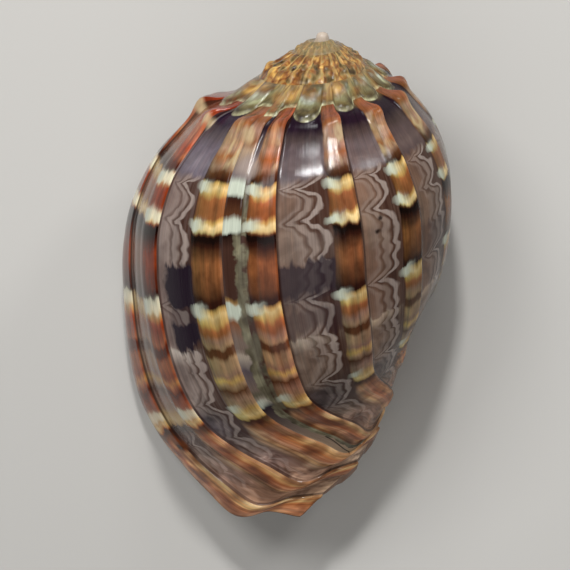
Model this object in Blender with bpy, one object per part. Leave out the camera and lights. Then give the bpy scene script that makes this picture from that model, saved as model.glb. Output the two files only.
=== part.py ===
# Harp shell, lying on its mouth with the apex towards +Y and its back up.
# The shell is grown the way the animal grows it: one growth line, from the suture down to the
# siphonal notch, is carried round a coiling axis while it scales up by a constant rate.
# Angles are counted backwards from the lip, so 0 is the lip and 360 is one whorl earlier.

import math
from functools import lru_cache

import bmesh
import bpy
from mathutils import Matrix, Vector

MM = 0.001

# Coiling
GROWTH_RATE = 0.1231            # gain in size for each radian of growth, as a natural logarithm
LIP_ANGLE = 116.0               # degrees from the middle of the back round to the lip
WHORL = 360.0
SPIRE_END = 540.0               # degrees of spire that are kept above the last whorl
WHORL_RATIO = math.exp(GROWTH_RATE * 2 * math.pi)

# Growth line at the lip: radius and drop below the apex in mm, lag behind the shoulder in degrees
SUTURE, SHOULDER, SEAM, LINE_END = 0.0, 2.0, 2.75, 15.0
GROWTH_LINE = (
    (15.3, 12.1, -4.0),
    (20.3, 14.9, -3.8),
    (24.9, 19.9, -3.0),
    (29.0, 25.4, -1.7),
    (32.0, 33.4, 0.0),
    (32.7, 40.3, 1.0),
    (32.4, 47.4, 2.0),
    (31.1, 57.1, 4.7),
    (28.9, 64.6, 7.6),
    (25.9, 70.4, 11.7),
    (22.5, 74.3, 21.2),
    (19.3, 77.7, 36.5),
    (15.9, 81.2, 54.0),
    (13.7, 79.5, 76.0),
    (12.1, 79.1, 99.2),
)

# Ribs: angle of the crest behind the lip, width towards the lip, height as a share
RIBS = (
    (17.0, 17.0, 1.0), (48.0, 12.0, 1.0), (78.5, 12.0, 1.0), (85.5, 7.0, 0.5), (98.5, 7.5, 1.0),
    (130.0, 10.0, 1.0), (158.0, 7.7, 1.0), (189.0, 9.6, 1.0), (218.0, 9.0, 1.0), (249.0, 10.0, 1.0),
    (280.0, 9.0, 1.0), (311.0, 9.0, 0.9), (341.0, 9.0, 0.8),
)
RIB_HEIGHT = (0.0, 0.3, 0.6, 0.9, 0.8, 0.8, 0.8, 0.8, 0.85, 0.9, 0.6, 1.1, 1.2, 1.2, 1.1, 0.9)
SPINE_HEIGHT = 1.0              # further height where a rib crosses the shoulder
SPINE_REACH = 0.35
RIB_STEP = 1.3                  # degrees taken by the steep older side of a rib
RIB_DROP = 0.35                 # share of its height that a rib loses across its top
RIB_FLAT = 0.8                  # share of its width where a rib starts to fall to the gap
RIB_FOOT = 2.5                  # degrees that its newer side runs on past that width
SPIRE_RIB_SPACING = 18.0
SPIRE_RIB_START = 0.7           # spacings between the last whorl and the first of them
SPIRE_RIB_SHARE = 0.9
SPIRE_RIB_WIDTH = 6.0
SPIRE_RIB_HEIGHT = 0.7          # height of the spire's ribs as a share of the last whorl's
GLAZE_BULGE = 0.3               # mm that the glazed ramp swells between the ribs
GLAZE_START = 0.5
GLAZE_FADE, GLAZE_END = 1.2, 1.8
SPIRE_FADE = 2.2                # station where the spire's ribs start to sink into the seam

# Departures from the regular spiral
TIP_DROP = 1.0                  # mm that the end of the columella reaches past the notch
TIP_REACH = 16.0
LIP_SWELL = 3.0                 # mm of thickening along the lip
LIP_SWELL_FROM, LIP_SWELL_REACH = 2.0, 22.0
LIP_SWELL_SPAN = (2.0, 7.0, 9.0, 12.5)   # stations where it starts, is full, and fades
WAIST_DEPTH = 2.0               # mm the right side is drawn in above the neck
WAIST_ANGLE, WAIST_REACH = 178.0, 45.0
WAIST_STATION, WAIST_SPAN = 10.3, 1.8
TIP_STATION = 14.0

# Mouth
WALL = 1.8
CALLUS = 0.6
CALLUS_REACH = 38.0             # degrees that the callus spreads over the body whorl
CALLUS_FULL = 4.5               # station from which the callus has its whole thickness
FLAT_STATION = 5.0              # the edge lies straight under the lip above this station
MOUTH_TURN = 200.0              # where the older part of the whorl starts to swing round the columella
EDGE_SWING = 39.0
COLUMELLA_RADIUS = 5.6
COLUMELLA_TIP = 76.5
COLUMELLA_ANGLE = 152.0
TIP_START = 0.04
FLOOR_SETBACK = 0.85            # stations between the canal's floor and the end of the growth line
FLOOR_SHARE = 0.3
TIP_SHARE = 0.45                # share of the columella's edge that rounds the floor of the canal
CORNER = 2.0                    # stations that the mouth's upper corner is rounded off
CORNER_END, CALLUS_CORNER_END = 4.0, 6.0
SETBACK_START = 12.0
INNER_SWELL = 0.6               # share of the lip's swelling that its inner side follows
RIM_AHEAD = 2.0                 # degrees past the lip that give the rim its direction
RIM_SHARES = (0.3, 0.65)
RIM_ROUNDING = 0.9
CALLUS_RIM, CALLUS_RIM_DROP = 2.0, 0.7
COLUMELLA_ROUNDING = 0.35
TIP_BLEND = 25.0
CAVITY_DEPTHS = (1.5, 8.0, 17.0, 30.0, 48.0, 68.0, 90.0, 112.0, 132.0, 150.0)
END_SHRINK = (0.3, 0.7, 1.0)
END_STEP = 8.0
END_MIDDLE = 0.4                # share down the crescent where the hollow comes to its end

# Apex
NIPPLE = ((1.35, 1.75), (1.08, 1.35), (0.98, 0.85), (0.6, 0.42))
NIPPLE_TOP = 0.3

# Mesh steps
LINE_STATIONS = (0.0, 0.8, 1.5, 2.0, 2.35, SEAM, 3.4, 4.2, 5.0, 6.0, 7.0, 8.0, 9.0, 9.7, 10.3,
                 11.0, 11.6, 12.2, 12.8, 13.4, 14.0, 14.5, 15.0)
SEAM_ROW = LINE_STATIONS.index(SEAM)
MAX_STEP = 6.5
MIN_STEP = 1.0
RIB_MARKS = (0.5, 0.85)         # shares across a rib that get a column of their own
GAP_MARK = 2.0
TANGENT_STEP = 0.02
MERGE = 0.01

# Resting pose, from the shell's own axis (apex +Z, back towards -Y)
REST_ROLL = 7.0
REST_TILT = 18.3

SHELL_COLOUR = (0.42, 0.25, 0.16, 1.0)
SHELL_ROUGHNESS = 0.3


def smooth(low, high, value):
    share = min(max((value - low) / (high - low), 0.0), 1.0)
    return share * share * (3.0 - 2.0 * share)


def bump(value, centre, reach):
    return math.exp(-(((value - centre) / reach) ** 2))


def through(points, position):
    # Catmull-Rom curve through numbered points
    last = len(points) - 1
    index = min(max(int(math.floor(position)), 0), last - 1)
    share = position - index
    before = points[max(index - 1, 0)]
    start, end = points[index], points[index + 1]
    after = points[min(index + 2, last)]
    return tuple(
        0.5 * (2 * b + (c - a) * share + (2 * a - 5 * b + 4 * c - d) * share ** 2
               + (3 * b - a - 3 * c + d) * share ** 3)
        for a, b, c, d in zip(before, start, end, after)
    )


def stations():
    # The suture lies on the previous whorl, where that whorl's own line passes the seam
    radius, drop, lag = through(GROWTH_LINE, SEAM - 1.0)
    return ((radius / WHORL_RATIO, drop / WHORL_RATIO, lag),) + GROWTH_LINE


STATIONS = stations()


@lru_cache(maxsize=None)
def line_at(station):
    # Radius, drop and lag, then the way out of the surface as its outward and downward shares
    low, high = max(station - TANGENT_STEP, SUTURE), min(station + TANGENT_STEP, LINE_END)
    before, after = (
        (radius * math.exp(GROWTH_RATE * math.radians(lag)), drop * math.exp(GROWTH_RATE * math.radians(lag)))
        for radius, drop, lag in (through(STATIONS, low), through(STATIONS, high))
    )
    run, fall = after[0] - before[0], after[1] - before[1]
    length = math.hypot(run, fall)
    return through(STATIONS, station) + (fall / length, -run / length)


def rib_share(back, crest, width, height):
    towards_lip = crest - back
    rise = smooth(-RIB_STEP, 0.0, towards_lip)
    top = 1.0 - RIB_DROP * smooth(0.0, width, towards_lip)
    fall = 1.0 if crest <= width else 1.0 - smooth(RIB_FLAT * width, width + RIB_FOOT, towards_lip)
    return height * rise * top * fall


def spire_ribs():
    count = int(SPIRE_END / SPIRE_RIB_SPACING)
    crests = (WHORL + SPIRE_RIB_SPACING * (number + SPIRE_RIB_START) for number in range(count))
    return tuple((crest, SPIRE_RIB_WIDTH, SPIRE_RIB_SHARE) for crest in crests)


ALL_RIBS = RIBS + spire_ribs()


@lru_cache(maxsize=None)
def last_angle(station):
    # The whorl's older edge: straight under the lip at the shoulder, round the columella below
    lag = line_at(station)[2] - line_at(FLAT_STATION)[2]
    return WHORL - max(lag, 0.0) - EDGE_SWING * smooth(FLAT_STATION, LINE_END, station)


def lip_swell(back, station):
    start, full, fade, end = LIP_SWELL_SPAN
    along = smooth(start, full, station) * (1.0 - smooth(fade, end, station))
    return LIP_SWELL * (1.0 - smooth(LIP_SWELL_FROM, LIP_SWELL_REACH, back)) * along


@lru_cache(maxsize=None)
def rib_height(station):
    plain = through(tuple((height,) for height in RIB_HEIGHT), station)[0]
    return plain + SPINE_HEIGHT * bump(station, SHOULDER, SPINE_REACH)


def waist(back, station):
    return WAIST_DEPTH * bump(back, WAIST_ANGLE, WAIST_REACH) * bump(station, WAIST_STATION, WAIST_SPAN)


def relief(back, station):
    # Height of everything that stands out from the plain growth line
    share = max(rib_share(back, *rib) for rib in ALL_RIBS)
    height = rib_height(station)
    if back > WHORL:
        height *= SPIRE_RIB_HEIGHT * (1.0 - smooth(SPIRE_FADE, SEAM, station))
    glaze = GLAZE_BULGE * smooth(SUTURE, GLAZE_START, station)
    glaze *= 1.0 - smooth(GLAZE_FADE, GLAZE_END, station)
    callus = 1.0 - smooth(0.0, CALLUS_REACH, last_angle(station) - back)
    callus *= smooth(SEAM, CALLUS_FULL, station)
    ribs = height * share * (1.0 - callus)
    return ribs + glaze * (1.0 - share) + CALLUS * callus + lip_swell(back, station) - waist(back, station)


def place(radius, drop, angle):
    # A point from its distance to the axis, its drop below the apex and its angle from the back
    turn = math.radians(angle)
    return Vector((-radius * math.sin(turn), -radius * math.cos(turn), -drop)) * MM


def skin_point(back, station, raised=None):
    grow = math.exp(-GROWTH_RATE * math.radians(back))
    radius, drop, lag, out, down = line_at(station)
    if raised is None:
        raised = relief(back, station)
    drop += TIP_DROP * (1.0 - smooth(0.0, TIP_REACH, back)) * smooth(TIP_STATION, LINE_END, station)
    return place(grow * (radius + raised * out), grow * (drop + raised * down), LIP_ANGLE - back - lag)


def carried(point_at_lip, back):
    # A point of the lip's own half-turn, carried back along the spiral
    radius, drop, angle = point_at_lip
    grow = math.exp(-GROWTH_RATE * math.radians(back))
    return place(grow * radius, grow * drop, angle - back)


def column_angles():
    # Columns of the last whorl: five on each rib, then even steps across the gap
    marks = {0.0, WHORL}
    for rib in RIBS:
        crest, width = rib[:2]
        marks.update((crest + RIB_STEP, crest, crest - width - GAP_MARK))
        marks.update(crest - share * width for share in RIB_MARKS)
    marks = sorted(mark for mark in marks if 0.0 <= mark <= WHORL)
    columns = [marks[0]]
    for mark in marks[1:]:
        gap = mark - columns[-1]
        if gap < MIN_STEP:
            continue
        steps = math.ceil(gap / MAX_STEP)
        columns += [columns[-1] + gap / steps * (step + 1) for step in range(steps)]
    return columns


def squeezed(column, station):
    # Older columns close up towards the columella below the shoulder
    if column <= MOUTH_TURN:
        return column
    share = (column - MOUTH_TURN) / (WHORL - MOUTH_TURN)
    return MOUTH_TURN + share * (last_angle(station) - MOUTH_TURN)


def new_line(mesh, points):
    line = [mesh.verts.new(point) for point in points]
    for start, end in zip(line, line[1:]):
        mesh.edges.new((start, end))
    return line


def extruded(mesh, line, points, closed=False):
    # One growth step: the line's edges are extruded and the new line is set in place
    pairs = list(zip(line, line[1:]))
    if closed:
        pairs.append((line[-1], line[0]))
    grown = bmesh.ops.extrude_edge_only(mesh, edges=[mesh.edges.get(pair) for pair in pairs])
    fresh = {item for item in grown["geom"] if isinstance(item, bmesh.types.BMVert)}
    new_line_verts = []
    for vert, point in zip(line, points):
        partner = next(edge.other_vert(vert) for edge in vert.link_edges if edge.other_vert(vert) in fresh)
        partner.co = point
        new_line_verts.append(partner)
    return new_line_verts


def grow_skin(mesh, columns):
    # The outer skin: the last whorl, then the strip of spire that later whorls leave bare
    points = [skin_point(0.0, station) for station in LINE_STATIONS]
    line = new_line(mesh, points)
    skin = {0.0: line}
    for column in columns[1:]:
        points = [skin_point(squeezed(column, station), station) for station in LINE_STATIONS]
        line = extruded(mesh, line, points)
        skin[column] = line
    line = line[:SEAM_ROW + 1]
    angles = list(columns)
    for column in columns[1:] + [column + WHORL for column in columns[1:]]:
        angle = column + WHORL
        if angle > WHORL + SPIRE_END:
            break
        points = [skin_point(angle, station) for station in LINE_STATIONS[:SEAM_ROW + 1]]
        line = extruded(mesh, line, points)
        skin[angle] = line
        angles.append(angle)
    return skin, angles


def close_suture(mesh, skin, angles, step):
    # Each whorl's suture is welded to the seam row of the whorl before it, step columns back
    partners = {}
    for index, angle in enumerate(angles):
        if index + step < len(angles):
            partners[skin[angle][0]] = skin[angles[index + step]][SEAM_ROW]
    bmesh.ops.weld_verts(mesh, targetmap=partners)
    for line in skin.values():
        line[0] = partners.get(line[0], line[0])


def close_apex(mesh, skin, angles, step):
    # The first whorl's open edge is drawn in to the small smooth nipple at the apex
    edge = [skin[angle][0] for angle in angles[-1 - step:]]
    turns = [math.atan2(vert.co.x, vert.co.y) for vert in edge]
    edge += skin[angles[-1]][1:SEAM_ROW]
    turns += [turns[0]] * (SEAM_ROW - 1)
    for radius, drop in NIPPLE:
        points = [Vector((radius * math.sin(turn), radius * math.cos(turn), -drop)) * MM for turn in turns]
        edge = extruded(mesh, edge, points, closed=True)
    points = [place(0.0, NIPPLE_TOP, 0.0)] * len(edge)
    edge = extruded(mesh, edge, points, closed=True)
    bmesh.ops.pointmerge(mesh, verts=edge, merge_co=points[0])


def columella_edge(share):
    # The mouth's inner edge, from the floor of the canal (0) up to the whorl before (1)
    radius, drop, lag, out, down = line_at(LINE_END - FLOOR_SETBACK)
    floor = (radius - WALL * out, drop - WALL * down, LIP_ANGLE - lag)
    radius, drop, lag = line_at(LINE_END)[:3]
    grow = math.exp(-GROWTH_RATE * math.radians(last_angle(LINE_END)))
    top = (grow * radius, grow * drop, LIP_ANGLE - last_angle(LINE_END) - lag + WHORL)
    inward = smooth(0.0, FLOOR_SHARE, share)
    round_tip = smooth(TIP_START, TIP_SHARE, share)
    climb = max(share - FLOOR_SHARE, 0.0) / (1.0 - FLOOR_SHARE)
    radius = floor[0] + (COLUMELLA_RADIUS - floor[0]) * inward
    radius += (top[0] - COLUMELLA_RADIUS) * smooth(FLOOR_SHARE, 1.0, climb)
    drop = floor[1] + (COLUMELLA_TIP - floor[1]) * smooth(0.0, 0.5 * FLOOR_SHARE, share)
    drop += (top[1] - COLUMELLA_TIP) * climb
    angle = floor[2] + (COLUMELLA_ANGLE - floor[2]) * round_tip
    angle += (top[2] - COLUMELLA_ANGLE) * smooth(TIP_SHARE, 1.0, share)
    return radius, drop, angle


def mouth_ring(depth, columns):
    # The mouth's wall, depth degrees inside the lip: outer wall, columella, then the whorl before
    points = []
    for station in LINE_STATIONS:
        inner = station + CORNER * (1.0 - smooth(SUTURE, CORNER_END, station))
        inner -= FLOOR_SETBACK * smooth(SETBACK_START, LINE_END, station)
        raised = INNER_SWELL * lip_swell(depth, inner) - waist(depth, inner) - WALL
        points.append(skin_point(depth, inner, raised))
    end = last_angle(LINE_END)
    for column in columns[1:-1]:
        points.append(carried(columella_edge(squeezed(column, LINE_END) / end), depth))
    for station in reversed(LINE_STATIONS[SEAM_ROW + 1:]):
        inner = station + CORNER * (1.0 - smooth(SEAM, CALLUS_CORNER_END, station))
        points.append(skin_point(last_angle(inner) + depth, inner, CALLUS))
    return points


def shares_along(points):
    lengths = [0.0]
    for start, end in zip(points, points[1:]):
        lengths.append(lengths[-1] + (end - start).length)
    return [length / lengths[-1] for length in lengths]


def at_share(points, shares, share):
    for index in range(1, len(points)):
        if share <= shares[index]:
            step = (share - shares[index - 1]) / (shares[index] - shares[index - 1])
            return points[index - 1].lerp(points[index], step)
    return points[-1].copy()


def end_ring(depth, shrink, columns):
    # The hollow's crescent drawn in along its own middle line, down to a point at shrink 1
    ring = mouth_ring(depth, columns)
    outer = ring[:len(LINE_STATIONS)]
    inner = list(reversed(ring[len(LINE_STATIONS):]))
    outer_shares, inner_shares = shares_along(outer), shares_along(inner)

    def middle(share):
        return at_share(outer, outer_shares, share).lerp(at_share(inner, inner_shares, share), 0.5)

    shares = outer_shares + list(reversed(inner_shares))
    points = []
    for point, share in zip(ring, shares):
        home = middle(END_MIDDLE + (share - END_MIDDLE) * (1.0 - shrink))
        points.append(home + (point - middle(share)) * (1.0 - shrink))
    return points


def rim_crown(number, outer, inner, columns):
    # The point that the rim's rounding bends towards, between its outer and inner edges
    station = LINE_STATIONS[min(number, len(LINE_STATIONS) - 1)]
    ahead = skin_point(-RIM_AHEAD, station) - skin_point(0.0, station)
    crown = outer.lerp(inner, 0.5) + ahead.normalized() * RIM_ROUNDING * MM
    number -= len(LINE_STATIONS) - 1
    if number <= 0:
        return crown
    if number < len(columns) - 1:
        back = squeezed(columns[number], LINE_END)
        radius, drop, lag, out, down = line_at(LINE_END)
        angle = LIP_ANGLE - back - lag
        ahead = place(radius - down, drop + out, angle) - place(radius, drop, angle)
        turned = outer + ahead.normalized() * COLUMELLA_ROUNDING * (inner - outer).length
        return crown.lerp(turned, smooth(0.0, TIP_BLEND, back))
    station = LINE_STATIONS[len(columns) - 2 - number]
    inner = station + 0.5 * CORNER * (1.0 - smooth(SEAM, CALLUS_CORNER_END, station))
    raised = CALLUS * (CALLUS_RIM - CALLUS_RIM_DROP * smooth(SEAM, CALLUS_CORNER_END, station))
    return skin_point(last_angle(inner) + 0.5 * CAVITY_DEPTHS[0], inner, raised)


def open_mouth(mesh, skin, columns):
    # The lip's rim and the hollow of the last whorl, which narrows to a rounded end
    edge = list(skin[0.0])
    edge += [skin[column][-1] for column in columns[1:-1]]
    edge += list(reversed(skin[WHORL][SEAM_ROW + 1:]))
    outer = [vert.co.copy() for vert in edge]
    inner = mouth_ring(CAVITY_DEPTHS[0], columns)
    crown = [rim_crown(number, start, end, columns) for number, (start, end) in enumerate(zip(outer, inner))]
    for share in RIM_SHARES:
        points = [
            start.lerp(middle, share).lerp(middle.lerp(end, share), share)
            for start, middle, end in zip(outer, crown, inner)
        ]
        edge = extruded(mesh, edge, points, closed=True)
    for depth in CAVITY_DEPTHS:
        edge = extruded(mesh, edge, mouth_ring(depth, columns), closed=True)
    for step, shrink in enumerate(END_SHRINK):
        points = end_ring(CAVITY_DEPTHS[-1] + END_STEP * (step + 1), shrink, columns)
        edge = extruded(mesh, edge, points, closed=True)
    bmesh.ops.pointmerge(mesh, verts=edge, merge_co=edge[0].co)


def laid_down(mesh):
    # Turned onto its mouth, then set on the surface with its box centred over the origin
    turn = Matrix.Rotation(math.radians(REST_TILT), 4, "X") @ Matrix.Rotation(math.radians(REST_ROLL), 4, "Y")
    bmesh.ops.transform(mesh, matrix=turn @ Matrix.Rotation(math.radians(-90.0), 4, "X"), verts=mesh.verts)
    low = [min(vert.co[axis] for vert in mesh.verts) for axis in range(3)]
    high = [max(vert.co[axis] for vert in mesh.verts) for axis in range(3)]
    middle = Vector((-(low[0] + high[0]) / 2, -(low[1] + high[1]) / 2, -low[2]))
    bmesh.ops.translate(mesh, vec=middle, verts=mesh.verts)


def shell_material():
    material = bpy.data.materials.new("harp_shell")
    material.use_nodes = True
    shader = material.node_tree.nodes["Principled BSDF"]
    shader.inputs["Base Color"].default_value = SHELL_COLOUR
    shader.inputs["Roughness"].default_value = SHELL_ROUGHNESS
    shader.inputs["Metallic"].default_value = 0.0
    return material


def make_shell():
    mesh = bmesh.new()
    columns = column_angles()
    skin, angles = grow_skin(mesh, columns)
    close_suture(mesh, skin, angles, len(columns) - 1)
    close_apex(mesh, skin, angles, len(columns) - 1)
    open_mouth(mesh, skin, columns)
    bmesh.ops.remove_doubles(mesh, verts=mesh.verts, dist=MERGE * MM)
    laid_down(mesh)
    bmesh.ops.triangulate(mesh, faces=mesh.faces)
    bmesh.ops.recalc_face_normals(mesh, faces=mesh.faces)
    data = bpy.data.meshes.new("shell")
    mesh.to_mesh(data)
    mesh.free()
    data.shade_smooth()
    data.materials.append(shell_material())
    shell = bpy.data.objects.new("shell", data)
    bpy.context.scene.collection.objects.link(shell)
    return shell


def main():
    for item in list(bpy.data.objects):
        bpy.data.objects.remove(item, do_unlink=True)
    make_shell()


main()
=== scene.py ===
import math
from bisect import bisect_left
from functools import lru_cache, partial

import bmesh
import bpy
from mathutils import Matrix, Vector, noise


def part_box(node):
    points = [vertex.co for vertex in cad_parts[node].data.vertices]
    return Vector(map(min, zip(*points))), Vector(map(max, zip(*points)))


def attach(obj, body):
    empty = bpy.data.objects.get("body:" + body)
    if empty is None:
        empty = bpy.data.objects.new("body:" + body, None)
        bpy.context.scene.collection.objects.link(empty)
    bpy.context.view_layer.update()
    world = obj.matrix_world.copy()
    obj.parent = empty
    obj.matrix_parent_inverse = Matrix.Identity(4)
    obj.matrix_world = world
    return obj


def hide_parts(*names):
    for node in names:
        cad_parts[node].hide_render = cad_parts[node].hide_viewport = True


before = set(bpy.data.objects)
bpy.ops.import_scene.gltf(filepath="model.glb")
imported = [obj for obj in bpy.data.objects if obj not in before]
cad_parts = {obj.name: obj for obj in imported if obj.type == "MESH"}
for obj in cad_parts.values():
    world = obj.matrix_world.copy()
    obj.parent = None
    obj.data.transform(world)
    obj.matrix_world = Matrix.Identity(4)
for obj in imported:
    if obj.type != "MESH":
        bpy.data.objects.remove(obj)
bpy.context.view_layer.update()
print("frame loaded")

# A harp shell lying on its mouth. Angles are counted in degrees back from the lip, one whorl is 360,
# and stations number the growth line from the suture (0) over the shoulder (2) down to the notch (15).
# Lengths are in mm where a note doesn't say otherwise.

mm = 0.001                           # in metres

harpShell = {
    "growthRate": 0.1231,            # gain in size for each radian of growth, as a natural logarithm
    "lipAngle": 116.0,
    "spireEnd": 540.0,               # degrees of bare spire above the last whorl
    "seam": 2.75,                    # station where the next whorl covers this one
    "growthLine": (                  # radius, drop and lag in degrees, for stations 1 to 15
        (15.3, 12.1, -4.0), (20.3, 14.9, -3.8), (24.9, 19.9, -3.0), (29.0, 25.4, -1.7), (32.0, 33.4, 0.0),
        (32.7, 40.3, 1.0), (32.4, 47.4, 2.0), (31.1, 57.1, 4.7), (28.9, 64.6, 7.6), (25.9, 70.4, 11.7),
        (22.5, 74.3, 21.2), (19.3, 77.7, 36.5), (15.9, 81.2, 54.0), (13.7, 79.5, 76.0), (12.1, 79.1, 99.2),
    ),
    # from the lip back: crest behind the lip and width towards it in degrees, height as a share of the
    # ribs' own, painted width in degrees
    "ribs": (
        (17.0, 17.0, 1.0, 17.0), (48.0, 12.0, 1.0, 11.0), (78.5, 12.0, 1.0, 12.3), (85.5, 7.0, 0.5, 7.0),
        (98.5, 7.5, 1.0, 10.3), (130.0, 10.0, 1.0, 10.5), (158.0, 7.7, 1.0, 9.8), (189.0, 9.6, 1.0, 10.0),
        (218.0, 9.0, 1.0, 10.0), (249.0, 10.0, 1.0, 10.5), (280.0, 9.0, 1.0, 9.5), (311.0, 9.0, 0.9, 9.5),
        (341.0, 9.0, 0.8, 9.5),
    ),
    # how dark the plum band is down to stations 7 and 7.9, and how far the rib's bands run on into the gap
    "gapTraits": ((0.0, 0.3, 1.0), (0.0, 0.3, 1.0), (0.0, 1.0, 0.0), (0.0, 0.0, 0.0), (0.0, 0.0, 0.0),
                  (0.4, 0.42, 0.0), (0.0, 0.0, 0.0), (0.2, 0.15, 0.0), (0.6, 0.3, 0.0), (0.0, 0.1, 0.0),
                  (0.4, 0.4, 0.0), (0.0, 0.3, 0.0), (0.4, 0.2, 0.0)),
    "ribHeight": (0.0, 0.35, 0.6, 0.7, 0.45, 0.42, 0.42, 0.42, 0.45, 0.55, 0.5, 0.8, 0.95, 1.0, 1.0, 0.9),
    "ribStep": 1.0,                  # degrees taken by a rib's steep older side
    "crestTurn": 0.6,                # degrees of that side that still have the crest's colours
    "ribDrop": 0.35,                 # share of its height that a rib loses by its newer edge
    "ribFall": 0.8,                  # share of the width where a rib starts to fall to its foot
    "ribFoot": 2.5,                  # degrees that the foot reaches past the width
    "spineHeight": 1.3,
    "spineReach": 0.35,              # in stations, to each side of the shoulder
    "spireRibs": (18.0, 6.0, 0.7),   # spacing and width in degrees, height beside the last whorl's
    "spireRough": 0.35,
    "spireLumps": (14.0, 1.6),       # degrees along a lump, and lumps for each station
    "glazeBulge": 0.9,
    "glazeThin": 0.35,               # share of the bulge that is left at a lobe's edges
    # station where the glaze ends on a rib, and how many stations further it hangs into each gap
    "glazeEnd": 1.1,
    "glazeHang": (0.55, 0.5, 0.65, 0.5, 0.5, 0.78, 0.5, 0.38, 0.6, 0.5, 0.7, 0.45, 0.6),
    "ribLean": 0.1,                  # degrees for each degree away from the middle rib
    "middleRib": 110.0,              # degrees behind the lip
    "mostLean": 8.0,
    "lipSwell": 3.0,
    "swellDegrees": (2.0, 22.0),     # behind the lip, over which the swelling fades
    "swellStations": (2.0, 7.0, 9.0, 12.5),
    "swellInside": 0.6,              # share of the swelling that the inner wall follows
    "waist": (2.0, (178.0, 45.0), (10.3, 1.8)),   # depth, then middle and reach in degrees and in stations
    "wall": 1.8,
    "callus": 0.6,
    "callusReach": 38.0,
    "canalTip": 1.0,                 # how far the canal's tip hangs down by the lip
    "canalFloor": 0.85,              # stations from the notch to the floor inside the canal
    "lagFrom": 5.0,                  # station below which the older edge turns round the columella
    "columellaTurn": 39.0,
    "columellaEdge": (5.6, 76.5, 152.0),          # radius, drop and angle of the mouth's inner edge
    "rimRound": 0.9,
    "rimBend": 0.35,
    "rimShares": (0.12, 0.25, 0.4, 0.55, 0.7, 0.85),
    "cavityDepths": (1.5, 4, 8, 12, 17, 23, 30, 39, 48, 58, 68, 79, 90, 101, 112, 122, 132, 141, 150),
    "endShares": (0.15, 0.3, 0.5, 0.7, 0.85, 0.95, 1.0),
    "endStep": 4.0,                  # degrees between the rings of the hollow's rounded end
    "endAt": 0.4,                    # share of the hollow's middle line that they close on
    "squeezeFrom": 200.0,            # older columns than this close up towards the columella
    "columnStep": 1.25,              # degrees
    "leastStep": 0.3,
    "rowStep": 0.1,                  # stations
    "rampRows": 30,
    "weld": 0.003,
    "nipple": ((1.6, 1.95), (1.35, 1.75), (1.18, 1.5), (1.08, 1.35), (1.03, 1.1), (0.98, 0.85), (0.84, 0.6),
               (0.6, 0.42), (0.3, 0.33)),
    "nippleStep": 0.15,              # stations that each ring of the nipple counts
    "restTilt": 18.3,                # degrees
    "restRoll": 7.0,
}
notch = float(len(harpShell["growthLine"]))       # the last station


def smooth(low, high, value):
    share = min(max((value - low) / (high - low), 0.0), 1.0)
    return share * share * (3.0 - 2.0 * share)


def bump(value, centre, reach):
    return math.exp(-(((value - centre) / reach) ** 2))


def through(points, position):       # Catmull-Rom curve through numbered points
    last = len(points) - 1
    index = min(max(int(math.floor(position)), 0), last - 1)
    share = position - index
    before, after = points[max(index - 1, 0)], points[min(index + 2, last)]
    return tuple(
        0.5 * (2 * b + (c - a) * share + (2 * a - 5 * b + 4 * c - d) * share ** 2
               + (3 * b - a - 3 * c + d) * share ** 3)
        for a, b, c, d in zip(before, points[index], points[index + 1], after)
    )


def sutureStation(shell):            # the suture lies on the whorl before, at that whorl's seam
    ratio = math.exp(shell["growthRate"] * 2 * math.pi)
    radius, drop, lag = through(shell["growthLine"], shell["seam"] - 1.0)
    return radius / ratio, drop / ratio, lag


growthStations = (sutureStation(harpShell),) + harpShell["growthLine"]


@lru_cache(maxsize=None)
def lineAt(station):                 # radius, drop and lag, then the surface's way out and down
    ends = []
    for place in (max(station - 0.02, 0.0), min(station + 0.02, notch)):
        radius, drop, lag = through(growthStations, place)
        grow = math.exp(harpShell["growthRate"] * math.radians(lag))
        ends.append((radius * grow, drop * grow))
    run, fall = ends[1][0] - ends[0][0], ends[1][1] - ends[0][1]
    length = math.hypot(run, fall)
    return through(growthStations, station) + (fall / length, -run / length)


def allRibs(shell):
    spacing, width, height = shell["spireRibs"]
    count = int(shell["spireEnd"] / spacing)
    later = tuple((360.0 + spacing * (number + 0.7), width, 0.9, width) for number in range(count))
    return shell["ribs"] + later


ribList = allRibs(harpShell)
ribCrests = [rib[0] for rib in ribList]


def ribTurn(back, station):          # degrees that the ribs turn off the growth line up on the ramp
    lean = harpShell["ribLean"] * (harpShell["middleRib"] - back)
    lean = min(max(lean, -harpShell["mostLean"]), harpShell["mostLean"])
    lean *= smooth(0.0, 17.0, back) * (1.0 - smooth(200.0, 330.0, back))
    return lean * smooth(0.0, 0.5, station) * (1.0 - smooth(0.9, 2.2, station))


def alongRib(place, station):        # the angle at which the line of a rib placed below crosses this station
    back = place
    for step in range(3):
        back = place + ribTurn(back, station)
    return back


def ribShare(back, rib):
    crest, width, height = rib[:3]
    towardsLip = crest - back
    if crest > 360.0:                # under the glaze of the spire the ribs are low round ridges
        return height * bump(towardsLip, 0.5 * width, 0.55 * width)
    step, foot = harpShell["ribStep"], width + harpShell["ribFoot"]
    if towardsLip < -step or towardsLip > foot:
        return 0.0
    rise = smooth(-step, 0.0, towardsLip)
    top = 1.0 - harpShell["ribDrop"] * smooth(0.0, width, towardsLip)
    fall = 1.0 if crest <= width else 1.0 - smooth(harpShell["ribFall"] * width, foot, towardsLip)
    return height * rise * top * fall


def ribsAt(back):
    first = max(bisect_left(ribCrests, back - 4.0), 0)
    return max((ribShare(back, rib) for rib in ribList[first:first + 3]), default=0.0)


def cellAt(back):
    # the rib whose crest comes next, its painted width and number, and how far back the newer crest lies
    number = min(bisect_left(ribCrests, back - harpShell["crestTurn"]), len(ribList) - 1)
    rib = ribList[number]
    return rib[0], rib[3], number, (ribCrests[number - 1] if number else -20.0)


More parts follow.
